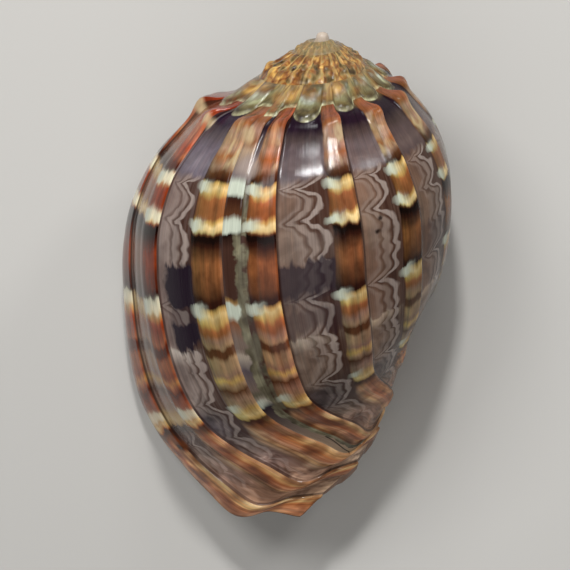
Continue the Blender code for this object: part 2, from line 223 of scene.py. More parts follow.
@lru_cache(maxsize=None)
def lastAngle(station):              # the whorl's older edge, round the columella below
    start = harpShell["lagFrom"]
    lag = lineAt(station)[2] - lineAt(start)[2]
    return 360.0 - max(lag, 0.0) - harpShell["columellaTurn"] * smooth(start, notch, station)


def lipSwell(back, station):
    start, full, fades, end = harpShell["swellStations"]
    along = smooth(start, full, station) * (1.0 - smooth(fades, end, station))
    return harpShell["lipSwell"] * (1.0 - smooth(*harpShell["swellDegrees"], back)) * along


@lru_cache(maxsize=None)
def ribHeight(station):
    plain = through(tuple((height,) for height in harpShell["ribHeight"]), station)[0]
    return plain + harpShell["spineHeight"] * bump(station, 2.0, harpShell["spineReach"])


def waist(back, station):
    depth, degrees, stations = harpShell["waist"]
    return depth * bump(back, *degrees) * bump(station, *stations)


def callusShare(back, station):
    share = 1.0 - smooth(0.0, harpShell["callusReach"], lastAngle(station) - back)
    return share * smooth(harpShell["seam"], 4.5, station)


def glazeLobe(back):                 # how full the glaze's lobe between two ribs is, and where it ends
    crest, width, number, newer = cellAt(back)
    gap = crest - width - newer
    across = (crest - width - back) / gap if gap > 0.0 else 0.5
    lobe = math.sqrt(max(1.0 - (2.0 * across - 1.0) ** 2, 0.0))
    hang = harpShell["glazeHang"][number] if number < len(harpShell["glazeHang"]) else 0.6
    return lobe, harpShell["glazeEnd"] + hang * lobe


def relief(back, station):           # mm that the skin stands out from the plain growth line
    onRamp = back - ribTurn(back, station)
    share = ribsAt(onRamp)
    height = ribHeight(station)
    if back > 360.0:
        height *= harpShell["spireRibs"][2] * (1.0 - smooth(2.2, harpShell["seam"], station))
    lobe, edge = glazeLobe(onRamp)
    glaze = harpShell["glazeBulge"] * smooth(0.0, 0.5, station) * (1.0 - smooth(edge - 0.3, edge, station))
    if back < 360.0:
        glaze *= harpShell["glazeThin"] + (1.0 - harpShell["glazeThin"]) * lobe
    callus = callusShare(back, station)
    ribs = height * share * (1.0 - callus)
    thick = harpShell["callus"] * callus + lipSwell(back, station)
    rough = 0.0
    if back > 360.0:                 # the spire is uneven under its glaze
        long, perStation = harpShell["spireLumps"]
        rough = harpShell["spireRough"] * noise.noise(Vector((back / long, station * perStation, 0.5)))
        rough *= smooth(0.0, 0.5, station) * (1.0 - smooth(2.3, harpShell["seam"], station))
    return ribs + glaze * (1.0 - share) + thick + rough - waist(back, station)


def placeAt(radius, drop, angle):
    turn = math.radians(angle)
    return Vector((-radius * math.sin(turn), -radius * math.cos(turn), -drop)) * mm


def skinPoint(back, station, raised=None):
    grow = math.exp(-harpShell["growthRate"] * math.radians(back))
    radius, drop, lag, out, down = lineAt(station)
    if raised is None:
        raised = relief(back, station)
    drop += harpShell["canalTip"] * (1.0 - smooth(0.0, 16.0, back)) * smooth(notch - 1.0, notch, station)
    angle = harpShell["lipAngle"] - back - lag
    return placeAt(grow * (radius + raised * out), grow * (drop + raised * down), angle)


def columnAngles():                  # close columns on each rib's steep side, even ones between
    step = harpShell["ribStep"]
    marks = {0.0, 360.0}
    for crest, width, height, painted in harpShell["ribs"]:
        marks.update((crest + step, crest + 0.5 * step, crest, crest - 0.5, crest - 1.2, crest - width))
    marks = sorted(mark for mark in marks if 0.0 <= mark <= 360.0)
    columns = [0.0]
    for mark in marks[1:]:
        gap = mark - columns[-1]
        if gap < harpShell["leastStep"]:
            continue
        steps = math.ceil(gap / harpShell["columnStep"])
        columns += [columns[-1] + gap / steps * (step + 1) for step in range(steps)]
    return columns


def squeezed(column, station):       # older columns close up towards the columella
    start = harpShell["squeezeFrom"]
    share = max(column - start, 0.0) / (360.0 - start)
    return min(column, start) + share * (lastAngle(station) - start)


def growthMarks(middle, place, station):
    # what the pattern follows: station, angle and degrees from the crest; the rib's width, its number
    # and the callus over it; degrees from the newer crest and the gap between the two ribs
    crest, width, number, newer = cellAt(middle)
    back = alongRib(place, station)
    glazed = glazeLobe(place)[1] - station
    beside = (place - newer, crest - width - newer, glazed if place < 360.0 else 9.0)
    traits = harpShell["gapTraits"][number] if number < len(harpShell["gapTraits"]) else (0.0, 0.0, 0.0)
    return (station, back, crest - place), (width, number, callusShare(back, station)), beside, traits


def addLine(mesh, points):
    line = [mesh.verts.new(point) for point in points]
    for start, end in zip(line, line[1:]):
        mesh.edges.new((start, end))
    return line


def extrudeLine(mesh, line, points, closed=False):
    # one growth step: the line's edges are extruded and the new line is set in place
    pairs = list(zip(line, line[1:]))
    if closed:
        pairs.append((line[-1], line[0]))
    grown = bmesh.ops.extrude_edge_only(mesh, edges=[mesh.edges.get(pair) for pair in pairs])
    fresh = {item for item in grown["geom"] if isinstance(item, bmesh.types.BMVert)}
    faces = [item for item in grown["geom"] if isinstance(item, bmesh.types.BMFace)]
    newLine = []
    for vert, point in zip(line, points):
        partner = next(edge.other_vert(vert) for edge in vert.link_edges if edge.other_vert(vert) in fresh)
        partner.co = point
        newLine.append(partner)
    return newLine, faces


def markFaces(faces, layers, marks):
    for face in faces:
        for loop in face.loops:
            for layer, mark in zip(layers, marks[loop.vert]):
                loop[layer] = mark


def growSheet(mesh, layers, columns, rows):
    # a grid whose lines are set one after the other along the coil
    count = len(rows)
    grid = bmesh.ops.create_grid(mesh, x_segments=count - 1, y_segments=len(columns) - 1, size=1.0)["verts"]
    places = {}
    for number, vert in enumerate(grid):
        column, station = columns[number // count], rows[number % count]
        place = squeezed(column, station) if column <= 360.0 else column
        vert.co = skinPoint(alongRib(place, station), station)
        places[vert] = (place, station)
    for face in {face for vert in grid for face in vert.link_faces}:
        lines = [places[vert][0] for vert in face.verts]
        middle = 0.5 * (min(lines) + max(lines))
        markFaces([face], layers, {vert: growthMarks(middle, *places[vert]) for vert in face.verts})


def closeApex(mesh, layers, angles, rows):
    # the first whorl's open edge is drawn in to the small smooth nipple
    first = angles[-1] - 360.0
    spots = [(angle, 0.0) for angle in angles if angle >= first - 0.001]
    turns = [math.radians(angle - harpShell["lipAngle"] + lineAt(0.0)[2]) for angle, station in spots]
    spots += [(angles[-1], station) for station in rows[1:-1]]
    turns += [turns[0]] * (len(rows) - 2)
    edge = addLine(mesh, [skinPoint(*spot) for spot in spots])
    mesh.edges.new((edge[-1], edge[0]))
    rings = [[Vector((radius * math.sin(turn), -radius * math.cos(turn), -drop)) * mm for turn in turns]
             for radius, drop in harpShell["nipple"]]
    rings.append([placeAt(0.0, 0.3, 0.0)] * len(edge))
    beside = (6.0, 60, 0.0), (5.0, 12.0, 9.0), (0.0, 0.0, 0.0)
    before = 0.0
    for number, points in enumerate(rings):
        newEdge, faces = extrudeLine(mesh, edge, points, closed=True)
        after = -harpShell["nippleStep"] * (number + 1)
        marks = {}
        for vert, newVert, (angle, station) in zip(edge, newEdge, spots):
            marks[vert] = ((before, angle, 9.0),) + beside
            marks[newVert] = ((after, angle, 9.0),) + beside
        markFaces(faces, layers, marks)
        edge, before = newEdge, after
    bmesh.ops.pointmerge(mesh, verts=edge, merge_co=edge[0].co)


def columellaEdge(share):            # the mouth's inner edge, from the canal's floor up to the whorl before
    wall = harpShell["wall"]
    edgeRadius, edgeDrop, edgeAngle = harpShell["columellaEdge"]
    radius, drop, lag, out, down = lineAt(notch - harpShell["canalFloor"])
    floor = (radius - wall * out, drop - wall * down, harpShell["lipAngle"] - lag)
    radius, drop, lag, out, down = lineAt(notch)
    grow = math.exp(-harpShell["growthRate"] * math.radians(lastAngle(notch)))
    top = (grow * radius, grow * drop, harpShell["lipAngle"] - lastAngle(notch) - lag + 360.0)
    inward = smooth(0.0, 0.3, share)
    climb = max(share - 0.3, 0.0) / 0.7
    radius = floor[0] + (edgeRadius - floor[0]) * inward + (top[0] - edgeRadius) * smooth(0.3, 1.0, climb)
    drop = floor[1] + (edgeDrop - floor[1]) * smooth(0.0, 0.15, share) + (top[1] - edgeDrop) * climb
    angle = floor[2] + (edgeAngle - floor[2]) * smooth(0.04, 0.45, share)
    return radius, drop, angle + (top[2] - edgeAngle) * smooth(0.45, 1.0, share)


def mouthRing(depth, columns, rows, seamRow):
    points = []
    for station in rows:
        inner = station + 2.0 * (1.0 - smooth(0.0, 4.0, station))
        inner -= harpShell["canalFloor"] * smooth(12.0, notch, station)
        raised = harpShell["swellInside"] * lipSwell(depth, inner) - waist(depth, inner) - harpShell["wall"]
        points.append(skinPoint(depth, inner, raised))
    grow = math.exp(-harpShell["growthRate"] * math.radians(depth))
    for column in columns[1:-1]:
        radius, drop, angle = columellaEdge(squeezed(column, notch) / lastAngle(notch))
        points.append(placeAt(grow * radius, grow * drop, angle - depth))
    for station in reversed(rows[seamRow + 1:]):
        inner = station + 2.0 * (1.0 - smooth(harpShell["seam"], 6.0, station))
        points.append(skinPoint(lastAngle(inner) + depth, inner, harpShell["callus"]))
    return points


def sharesAlong(points):
    lengths = [0.0]
    for start, end in zip(points, points[1:]):
        lengths.append(lengths[-1] + (end - start).length)
    return [length / lengths[-1] for length in lengths]


def atShare(points, shares, share):
    for index in range(1, len(points)):
        if share <= shares[index]:
            step = (share - shares[index - 1]) / (shares[index] - shares[index - 1])
            return points[index - 1].lerp(points[index], step)
    return points[-1].copy()


def endRing(ring, shrink, outerCount):
    # the hollow's crescent, drawn in along its own middle line
    outer, inner = ring[:outerCount], list(reversed(ring[outerCount:]))
    outerShares, innerShares = sharesAlong(outer), sharesAlong(inner)

    def middle(share):
        return atShare(outer, outerShares, share).lerp(atShare(inner, innerShares, share), 0.5)

    shares = outerShares + list(reversed(innerShares))
    end = harpShell["endAt"]
    points = []
    for point, share in zip(ring, shares):
        home = middle(end + (share - end) * (1.0 - shrink))
        points.append(home + (point - middle(share)) * (1.0 - shrink))
    return points


def rimCrown(number, outer, inner, columns, rows):
    # the point that the rim's rounding bends towards
    station = rows[min(number, len(rows) - 1)]
    ahead = skinPoint(-2.0, station) - skinPoint(0.0, station)
    crown = outer.lerp(inner, 0.5) + ahead.normalized() * (harpShell["rimRound"] * mm)
    number -= len(rows) - 1
    if number <= 0:
        return crown
    if number < len(columns) - 1:
        back = squeezed(columns[number], notch)
        radius, drop, lag, out, down = lineAt(notch)
        angle = harpShell["lipAngle"] - back - lag
        ahead = placeAt(radius - down, drop + out, angle) - placeAt(radius, drop, angle)
        turned = outer + ahead.normalized() * harpShell["rimBend"] * (inner - outer).length
        return crown.lerp(turned, smooth(0.0, 25.0, back))
    station = rows[len(columns) - 2 - number]
    near = station + 1.0 - smooth(harpShell["seam"], 6.0, station)
    raised = harpShell["callus"] * (2.0 - 0.7 * smooth(harpShell["seam"], 6.0, station))
    return skinPoint(lastAngle(near) + harpShell["cavityDepths"][0] / 2, near, raised)


def openMouth(mesh, layers, columns, rows, seamRow):
    # the lip's rim and the hollow of the last whorl, which narrows to a rounded end
    depths = harpShell["cavityDepths"]
    spots = [(0.0, station) for station in rows]
    spots += [(squeezed(column, notch), notch) for column in columns[1:-1]]
    spots += [(lastAngle(station), station) for station in reversed(rows[seamRow + 1:])]
    outer = [skinPoint(*spot) for spot in spots]
    edge = addLine(mesh, outer)
    mesh.edges.new((edge[-1], edge[0]))
    inner = mouthRing(depths[0], columns, rows, seamRow)
    crown = [rimCrown(number, *pair, columns, rows) for number, pair in enumerate(zip(outer, inner))]
    rings = []
    for share in harpShell["rimShares"]:
        bends = zip(outer, crown, inner)
        rings.append((share, [a.lerp(b, share).lerp(b.lerp(c, share), share) for a, b, c in bends]))
    for depth in depths:
        rings.append((depth, mouthRing(depth, columns, rows, seamRow)))
    for step, shrink in enumerate(harpShell["endShares"]):
        depth = depths[-1] + harpShell["endStep"] * (step + 1)
        rings.append((depth, endRing(mouthRing(depth, columns, rows, seamRow), shrink, len(rows))))
    before = 0.0
    for depth, points in rings:
        newEdge, faces = extrudeLine(mesh, edge, points, closed=True)
        marks = {}
        for number, (back, station) in enumerate(spots):
            for line, deep in ((edge, before), (newEdge, depth)):
                cover = 1.0 + min(deep, 1.0)
                beside = (5.0, 12.0, deep), (0.0, 0.0, 0.0)
                marks[line[number]] = ((station, back - deep, 9.0), (6.0, 0, cover)) + beside
        markFaces(faces, layers, marks)
        edge, before = newEdge, depth
    bmesh.ops.pointmerge(mesh, verts=edge, merge_co=edge[0].co)


def layDown(mesh):
    # onto its mouth, then over the place that the solid has in the frame
    turn = Matrix.Rotation(math.radians(harpShell["restTilt"]), 4, "X")
    turn = turn @ Matrix.Rotation(math.radians(harpShell["restRoll"]), 4, "Y")
    turn = turn @ Matrix.Rotation(math.radians(-90.0), 4, "X")
    bmesh.ops.transform(mesh, matrix=turn, verts=mesh.verts)
    low = [min(vert.co[axis] for vert in mesh.verts) for axis in range(3)]
    high = [max(vert.co[axis] for vert in mesh.verts) for axis in range(3)]
    solidLow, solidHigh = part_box("shell")
    shift = Vector([(solidLow[axis] + solidHigh[axis] - low[axis] - high[axis]) / 2 for axis in range(2)]
                   + [solidLow[2] - low[2]])
    bmesh.ops.translate(mesh, vec=shift, verts=mesh.verts)
    return Matrix.Translation(shift) @ turn


def makeShell():
    mesh = bmesh.new()
    layers = [mesh.loops.layers.float_vector.new(name) for name in ("growth", "rib", "gap", "traits")]
    columns = columnAngles()
    seam, seamRow = harpShell["seam"], harpShell["rampRows"]
    upper = [seam * number / seamRow for number in range(seamRow + 1)]
    count = round((notch - seam) / harpShell["rowStep"])
    rows = upper + [seam + (notch - seam) * (number + 1) / count for number in range(count)]
    later = [360.0 + turn + column for turn in (0.0, 360.0) for column in columns[1:]]
    later = [360.0] + [column for column in later if column <= 360.0 + harpShell["spireEnd"]]
    openMouth(mesh, layers, columns, rows, seamRow)
    closeApex(mesh, layers, columns + later[1:], upper)
    growSheet(mesh, layers, columns, rows)
    growSheet(mesh, layers, later, upper)
    bmesh.ops.remove_doubles(mesh, verts=mesh.verts, dist=harpShell["weld"] * mm)
    standing = layDown(mesh)
    bmesh.ops.recalc_face_normals(mesh, faces=mesh.faces)
    print("open edges:", sum(not edge.is_manifold for edge in mesh.edges))
    data = bpy.data.meshes.new("harpShell")
    mesh.to_mesh(data)
    mesh.free()
    data.shade_smooth()
    shell = bpy.data.objects.new("harpShell", data)
    bpy.context.scene.collection.objects.link(shell)
    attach(shell, "root")
    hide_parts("shell")
    return shell, standing


def colour(code):                    # sRGB hex to linear
    parts = [int(code[index:index + 2], 16) / 255 for index in (0, 2, 4)]
    linear = [part / 12.92 if part <= 0.04045 else ((part + 0.055) / 1.055) ** 2.4 for part in parts]
    return (*linear, 1.0)


def addNode(tree, kind, *values, named=(), stops=(), curve=(), **settings):
    # a node and its settings; a word after the kind says what the node does, values fill its sockets in
    # order or by name, and a socket among them is linked
    kind, *how = kind.split()
    node = tree.nodes.new("ShaderNode" + kind)
    if kind == "Mix":
        node.data_type = "RGBA"
    for name in how:
        setattr(node, "blend_type" if kind == "Mix" else "operation", name)
    for name, value in settings.items():
        setattr(node, name, value)
    sockets = [socket for socket in node.inputs if socket.enabled]
    byName = [(node.inputs[name], value) for name, value in dict(named).items()]
    for socket, value in list(zip(sockets, values)) + byName:
        if isinstance(value, bpy.types.NodeSocket):
            tree.links.new(value, socket)
        else:
            socket.default_value = value
    for number, (position, tone) in enumerate(stops):
        elements = node.color_ramp.elements
        element = elements[number] if number < 2 else elements.new(position)
        element.position = position
        element.color = (*tone, 1.0)[:4]
    for number, (across, height, *sharp) in enumerate(curve):
        points = node.mapping.curves[0].points
        point = points[number] if number < 2 else points.new(across, height)
        point.location = (across, height)
        point.handle_type = "VECTOR" if sharp else "AUTO_CLAMPED"
        node.mapping.update()
    outputs = [socket for socket in node.outputs if socket.enabled]
    return outputs[0] if len(outputs) == 1 else outputs


shellSkin = {
    "roughness": 0.12,
    "ior": 1.26,                     # below lime's own, which lays a veil of the pale studio over dark bands
    "ridgeStrength": 0.15,
    "ridgeHeight": 0.2,
    "degree": 0.45,                  # mm along the coil in a degree, in the middle of the back
    "station": 6.0,                  # mm down the shell in a station
    "barsEnd": 6.0,                  # station where the second table of the ribs' colours takes over
    "base": (10.0, 11.2),            # stations over which a rib's paint spreads and loses its bands
    "lastRib": 12.0,                 # ribs are numbered from the lip, 0, as harpShell lists them
    "narrowStep": 3.0,               # the number of the rib that is a narrow step
    "besideStep": 4.0,               # the gap beside it has this rib's number
    "wholePlum": 5.0,                # the gap with this number is plum all across
    "stripEdge": (6.4, 5.6),         # where the greenish strip on the step ends, in degrees from its crest
    "stripFrom": (4.95, 5.1),        # and where this and the next ones start and end, in stations
    "plumFrom": (5.92, 6.06),
    "plumShortTo": (7.1, 6.9),
    "plumLongTo": (7.96, 7.8),
    "festoonsFrom": (3.65, 3.9),
    "festoonsTo": (13.2, 10.0),
    "festoonReach": 16.0,            # degrees from a rib's newer edge
    "bandWaves": {"slow": 0.07, "fine": 0.022, "jags": 0.06},     # stations that the bands wander
    "tones": {
        "cream": "bca674", "paleCream": "c8b384", "butter": "a68852", "bluishWhite": "b0b6a6",
        "tan": "96806a", "ochre": "8e6c3c", "orange": "865232", "salmon": "927060", "pinkTan": "7c6052",
        "rust": "74482c", "fire": "74422e", "brown": "4c2e1c", "umber": "2a120a", "black": "120604",
        "slate": "3e3434", "mauve": "50464a", "grey": "5e5456", "paleGrey": "9c8f80", "taupe": "6c5c52",
        "plum": "1c101c", "plumBrown": "3c261e", "roseTaupe": "67544a", "olive": "54492e",
        "moss": "76765a", "straw": "b89a5c", "lilac": "8e8078", "chestnut": "5c3018", "blush": "8e7062",
        "whiteCream": "dcd8bc", "spireGrey": "7c7254", "sand": "a68a70", "glazeGrey": "969c92",
        "nacre": "dccab6", "nipplePink": "b0a294", "greenCream": "565040", "peach": "8c6a54",
        "fawn": "886e56", "wheat": "ac9674", "glazeRim": "8e8a6c", "glazeDark": "48422e",
    },
    # colour down a rib by station, above and below station 6
    "ribUpper": (
        (0.0, "moss"), (0.75, "olive"), (1.0, "rust"), (1.3, "fire"), (1.8, "fire"), (2.05, "orange"),
        (2.25, "salmon"), (2.5, "peach"), (2.75, "salmon"), (3.0, "orange"), (3.3, "pinkTan"),
        (3.5, "brown"), (3.74, "umber"), (3.83, "butter"), (3.93, "cream"), (4.08, "butter"),
        (4.2, "orange"), (4.4, "rust"), (4.6, "rust"), (4.69, "butter"), (4.77, "paleCream"),
        (4.88, "cream"), (4.97, "brown"), (5.02, "black"), (5.14, "black"), (5.3, "umber"),
        (5.5, "brown"), (5.75, "rust"), (6.0, "rust"),
    ),
    "ribLower": (
        (6.0, "rust"), (6.68, "brown"), (6.86, "umber"), (6.99, "umber"), (7.08, "butter"),
        (7.17, "cream"), (7.32, "butter"), (7.42, "orange"), (7.52, "rust"), (7.64, "pinkTan"),
        (7.78, "fawn"), (7.86, "brown"), (8.0, "brown"), (8.1, "fawn"), (8.3, "fawn"), (8.5, "pinkTan"),
        (8.68, "butter"), (8.8, "fawn"), (8.95, "brown"), (9.2, "pinkTan"), (9.48, "fawn"),
        (9.65, "butter"), (9.84, "cream"), (9.96, "butter"), (10.05, "umber"), (10.2, "umber"),
        (10.4, "rust"), (10.8, "blush"), (11.6, "sand"), (12.4, "sand"), (15.0, "sand"),
    ),
    # the narrow step beside the widest rib has bands of its own
    "stepTones": (
        (0.0, "moss"), (1.0, "orange"), (1.9, "rust"), (2.2, "salmon"), (2.5, "rust"), (2.8, "tan"),
        (3.6, "grey"), (3.86, "bluishWhite"), (4.12, "bluishWhite"), (4.22, "umber"), (4.6, "brown"),
        (4.7, "bluishWhite"), (4.95, "bluishWhite"), (5.03, "black"), (5.4, "plumBrown"),
        (6.8, "plumBrown"), (6.96, "ochre"), (7.04, "bluishWhite"), (7.3, "bluishWhite"), (7.42, "rust"),
        (7.8, "taupe"), (8.0, "taupe"), (8.1, "paleGrey"), (8.5, "mauve"), (9.1, "taupe"),
        (9.3, "greenCream"), (9.6, "paleGrey"), (9.8, "plum"), (11.0, "taupe"), (12.5, "tan"),
        (15.0, "butter"),
    ),
    "gapTones": (
        (0.0, "moss"), (0.8, "moss"), (1.3, "olive"), (1.55, "plum"), (2.1, "plum"), (2.5, "slate"),
        (2.9, "mauve"), (3.35, "grey"), (3.7, "mauve"), (3.9, "roseTaupe"), (4.4, "roseTaupe"),
        (5.0, "taupe"), (5.8, "taupe"), (6.05, "roseTaupe"), (7.9, "roseTaupe"), (7.96, "paleGrey"),
        (8.3, "taupe"), (9.4, "taupe"), (9.8, "slate"), (10.6, "slate"), (11.2, "taupe"), (12.0, "blush"),
        (12.6, "peach"), (13.3, "peach"), (15.0, "sand"),
    ),
    "spireTones": (
        (0.3, "umber"), (0.37, "olive"), (0.44, "spireGrey"), (0.49, "ochre"), (0.54, "rust"),
        (0.6, "ochre"), (0.68, "straw"),
    ),
    # festoons: how far the growth lines swing away from the rib, in tenths of the gap, by station, and
    # "sharp" where the line comes to a point
    "festoonSwing": (
        (0.0, 0.0), (3.6, 0.0), (3.98, 8.0, "sharp"), (4.2, 2.8), (4.42, 0.0), (4.62, 2.6),
        (4.83, 8.0, "sharp"), (5.02, 2.2), (5.3, 0.0), (5.8, 0.2), (5.95, 1.5), (6.15, 0.0), (6.7, 0.4),
        (7.08, 8.0, "sharp"), (7.35, 2.2), (7.6, 1.0), (7.9, 4.0, "sharp"), (8.08, 1.0),
        (8.22, 3.4, "sharp"), (8.36, 0.6), (8.5, 2.0, "sharp"), (8.75, 0.0), (9.1, 1.4),
        (9.42, 8.0, "sharp"), (9.65, 2.4), (10.1, 0.0), (10.45, 1.8), (10.75, 7.0, "sharp"), (10.95, 2.0),
        (11.35, 1.0), (11.85, 6.5, "sharp"), (12.1, 2.5), (12.6, 6.0), (15.0, 0.0),
    ),
    # tones from a rib's newer edge outwards, in degrees, with how strongly each covers the gap's own
    "festoonTones": (
        (0.0, "plumBrown", 1.0), (1.5, "plumBrown", 1.0), (2.4, "lilac", 0.95), (4.0, "lilac", 0.95),
        (4.8, "plumBrown", 0.95), (5.6, "plumBrown", 0.7), (6.9, "lilac", 0.5), (8.4, "lilac", 0.5),
        (9.3, "plumBrown", 0.6), (10.0, "plumBrown", 0.4), (11.3, "lilac", 0.35), (12.6, "lilac", 0.2),
        (14.0, "mauve", 0.0), (16.0, "mauve", 0.0),
    ),
    # the points of the pale bars, by station
    "barPoints": (
        (0.0, 0.0), (3.7, 0.0), (3.82, 0.5), (3.98, 1.0), (4.12, 0.5), (4.24, 0.0), (4.56, 0.0),
        (4.7, 0.6), (4.83, 1.0), (4.95, 0.4), (5.04, 0.0), (6.9, 0.0), (7.0, 0.5), (7.14, 1.0),
        (7.28, 0.5), (7.4, 0.0), (9.4, 0.0), (9.52, 0.5), (9.66, 0.8), (9.8, 0.3), (9.9, 0.0),
        (15.0, 0.0),
    ),
    # cream spots on the shoulder, a worn grey patch, two small pits and the dark red spot by the lip:
    # degrees behind the lip, station, radius in mm, tone
    "spots": (
        (17.0, 2.1, 1.7, "wheat"), (47.4, 2.2, 1.6, "wheat"), (80.0, 2.36, 2.0, "wheat"),
        (129.0, 2.3, 1.4, "wheat"), (84.8, 3.3, 3.2, "lilac"), (138.2, 5.07, 0.8, "black"),
        (137.3, 5.52, 0.8, "black"), (17.0, 10.64, 1.9, "chestnut"), (16.0, 10.7, 0.9, "black"),
    ),
    # the crack: degrees behind the lip, in hundreds, by station; 0 where there is none
    "crack": (
        (0.0, 0.0), (11.7, 0.0, "sharp"), (11.8, 0.84, "sharp"), (12.6, 0.822), (13.0, 0.803),
        (13.15, 0.786, "sharp"), (13.2, 0.0, "sharp"), (15.0, 0.0),
    ),
    # tints of the ribs and of the gaps before them by rib number; the two ribs by the lip are redder
    "ribTints": (
        (0, (0.85, 0.4, 0.28)), (1, (0.88, 0.36, 0.2)), (2, (1.0, 1.08, 1.0)), (4, (1.1, 0.92, 0.85)),
        (5, (0.95, 0.95, 1.0)), (6, (0.95, 1.0, 0.9)), (12, (1.0, 1.0, 1.0)),
    ),
    "gapTints": (
        (0, (1.0, 0.9, 0.85)), (2, (1.25, 1.3, 1.45)), (4, (1.0, 1.0, 0.95)), (5, (0.9, 0.85, 0.82)),
        (6, (1.1, 0.98, 0.88)), (7, (0.85, 0.72, 0.62)), (12, (0.95, 0.9, 0.85)),
    ),
    # across a rib: pale and orange at the crest, where a highlight is painted; olive and darker at the newer
    # edge, where shade is painted
    "crestHighlightEdgeShade": (
        (0.0, (1.25, 1.16, 1.1)), (0.1, (1.15, 1.05, 0.98)), (0.2, (0.95, 0.94, 0.93)),
        (0.45, (1.08, 1.04, 1.0)), (0.72, (0.92, 1.0, 0.95)), (0.9, (0.8, 0.9, 0.8)),
        (1.0, (0.55, 0.55, 0.5)),
    ),
    # where the cream flecks lie, down the shell: most of them above the first bar and low on the base
    "fleckPlaces": (
        (0.0, 0.0), (0.12, 0.0), (0.17, 0.9), (0.22, 0.8), (0.24, 0.0), (0.68, 0.0), (0.73, 0.75), (1.0, 0.9),
    ),
    # low on the base, across a rib: from a cream crest, where a highlight is painted, over orange-brown into
    # the grey of the gap
    "baseTones": (
        (0.0, "tan"), (0.05, "wheat"), (0.1, "wheat"), (0.3, "orange"), (0.55, "salmon"), (0.8, "fawn"),
        (1.0, "lilac"),
    ),
    # the glaze from the rim of a lobe inwards, over two stations
    "lobeTones": (
        (0.0, "glazeRim"), (0.05, "glazeRim"), (0.11, "glazeDark"), (0.2, "olive"), (0.36, "moss"),
        (0.5, "glazeGrey"), (0.62, "moss"),
    ),
    # how far a band sags and how strongly the painted highlight along a spire's ridge shows, across a rib
    "sagShape": (
        (0.0, 0.3), (0.25, 0.85), (0.5, 1.0), (0.75, 0.7), (1.0, 0.0),
    ),
    "ridgeHighlightShape": (
        (0.0, 0.0), (0.2, 0.15), (0.4, 0.6), (0.6, 0.35), (0.75, 0.0), (1.0, 0.0),
    ),
    # how much paler triangles break the plum band, by station
    "plumBreaks": (
        (0.0, 0.0), (7.0, 0.0), (7.18, 0.75), (7.45, 0.35), (7.6, 0.0), (15.0, 0.0),
    ),
    # how some of the patterns below lighten and darken the tones under them
    "patternTints": {
        "streaks": ((0.3, (0.72, 0.8, 0.8)), (0.45, (1.0, 1.0, 1.0)), (0.55, (1.05, 1.0, 0.95)),
                    (0.7, (1.28, 1.25, 1.2))),
        "blotches": ((0.33, (0.68, 0.64, 0.62)), (0.46, (0.95, 0.95, 0.95)), (0.56, (1.05, 1.05, 1.05)),
                     (0.68, (1.35, 1.35, 1.3))),
        "jags": ((0.36, (0.75, 0.55, 0.42)), (0.47, (1.05, 0.95, 0.85)), (0.55, (1.15, 1.15, 1.05)),
                 (0.64, (1.25, 1.3, 1.2))),
        "patches": ((0.36, (0.42, 0.25, 0.18)), (0.45, (0.9, 0.6, 0.42)), (0.52, (1.2, 0.98, 0.76)),
                    (0.6, (1.85, 1.65, 1.35))),
        "mottles": ((0.36, (0.5, 0.45, 0.44)), (0.46, (1.0, 0.98, 0.96)), (0.54, (1.3, 1.32, 1.3)),
                    (0.62, (1.9, 2.0, 2.0))),
    },
    # sizes of the skin's uneven patterns in mm, along the coil and down the shell, then how far they change
    # from rib to rib, their place, detail, roughness and distortion. Real growth lines are about 0.1 mm
    # apart, too fine to show, so the fine ones are drawn three times as wide.
    "patterns": {
        "slow": (2.679, 4.286, 1.4, 0.0, 1.5, 0.5, 0.0),
        "fine": (0.3, 20.0, 0.0, 0.0, 3.0, 0.6, 0.0),
        "streaks": (0.8182, 27.27, 1.0, 0.0, 2.0, 0.5, 0.0),
        "ragged": (3.0, 2.727, 0.0, 7.0, 3.0, 0.5, 0.0),
        "jags": (1.406, 8.571, 0.0, 11.0, 2.0, 0.5, 0.0),
        "blotches": (1.5, 3.0, 1.0, 0.0, 2.0, 0.5, 0.0),
        "flecks": (2.25, 5.455, 3.0, 0.0, 2.5, 0.5, 0.0),
        "patches": (4.5, 4.0, 2.3, 0.0, 1.5, 0.5, 0.0),
        "mottles": (3.462, 3.529, 0.0, 5.0, 2.0, 0.5, 0.6),
        "zigzags": (5.625, 2.308, 1.0, 0.0, 0.6, 0.5, 0.0),
        "clouds": (6.0, 5.455, 0.0, 3.0, 1.2, 0.5, 0.0),
        "stains": (22.5, 20.0, 0.0, 2.0, 1.0, 0.5, 0.0),
    },
}


def shares(name, last=1.0, first=0.0):            # one of those tables, its places as shares of a span
    return [((at - first) / (last - first), *rest) for at, *rest in shellSkin[name]]


